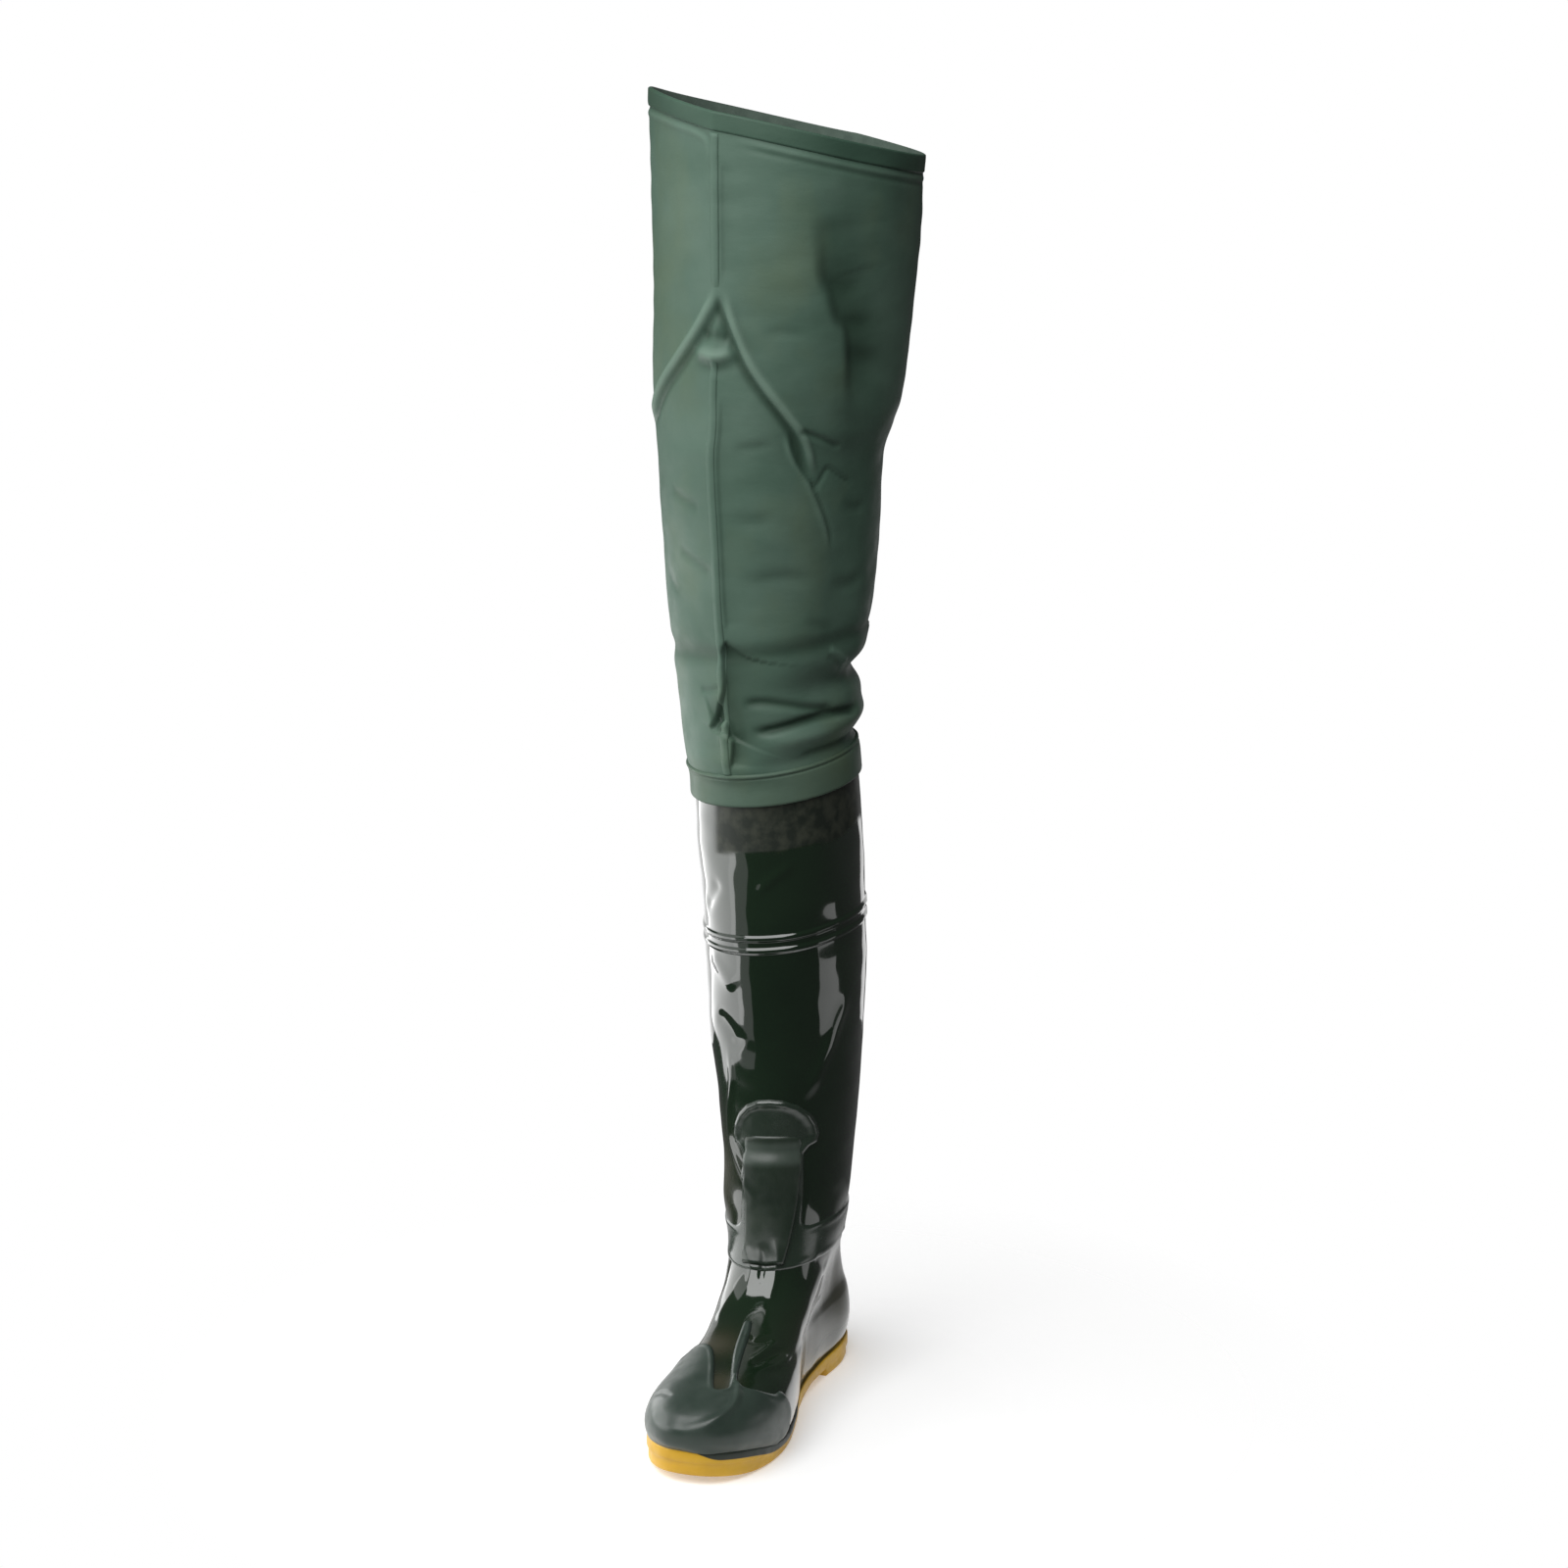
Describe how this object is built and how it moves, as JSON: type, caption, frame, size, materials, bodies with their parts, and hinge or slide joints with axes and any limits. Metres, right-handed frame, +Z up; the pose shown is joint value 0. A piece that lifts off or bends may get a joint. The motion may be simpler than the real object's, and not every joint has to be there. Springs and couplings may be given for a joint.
{
  "type": "thigh boot",
  "caption": "Tall waterproof boot for the right leg: moulded rubber foot and shaft on a lugged outsole, with a coated-fabric leg that reaches the thigh.",
  "frame": {"origin": "on the ground, at the middle of the flat under the heel", "axes": "+Z up along the leg; the toe points to -Y; +X is the inner side of the right leg"},
  "size_m": [0.1881, 0.3594, 0.9369],
  "materials": {
    "sole_rubber": "satin yellow rubber",
    "insole_felt": "grey felt",
    "boot_rubber": "glossy very dark green rubber",
    "guard_rubber": "matte dark green rubber",
    "leg_fabric": "matte green coated fabric",
    "hem_fabric": "darker green coated fabric"
  },
  "bodies": {
    "root": {"outsole": "sole_rubber", "insole": "insole_felt", "upper": "boot_rubber", "toe_guard": "guard_rubber", "shin_guard": "guard_rubber", "instep_plate": "guard_rubber", "leg": "leg_fabric", "knee_band": "leg_fabric", "collar_hem": "hem_fabric", "front_seam": "leg_fabric"}
  },
  "joints": []
}
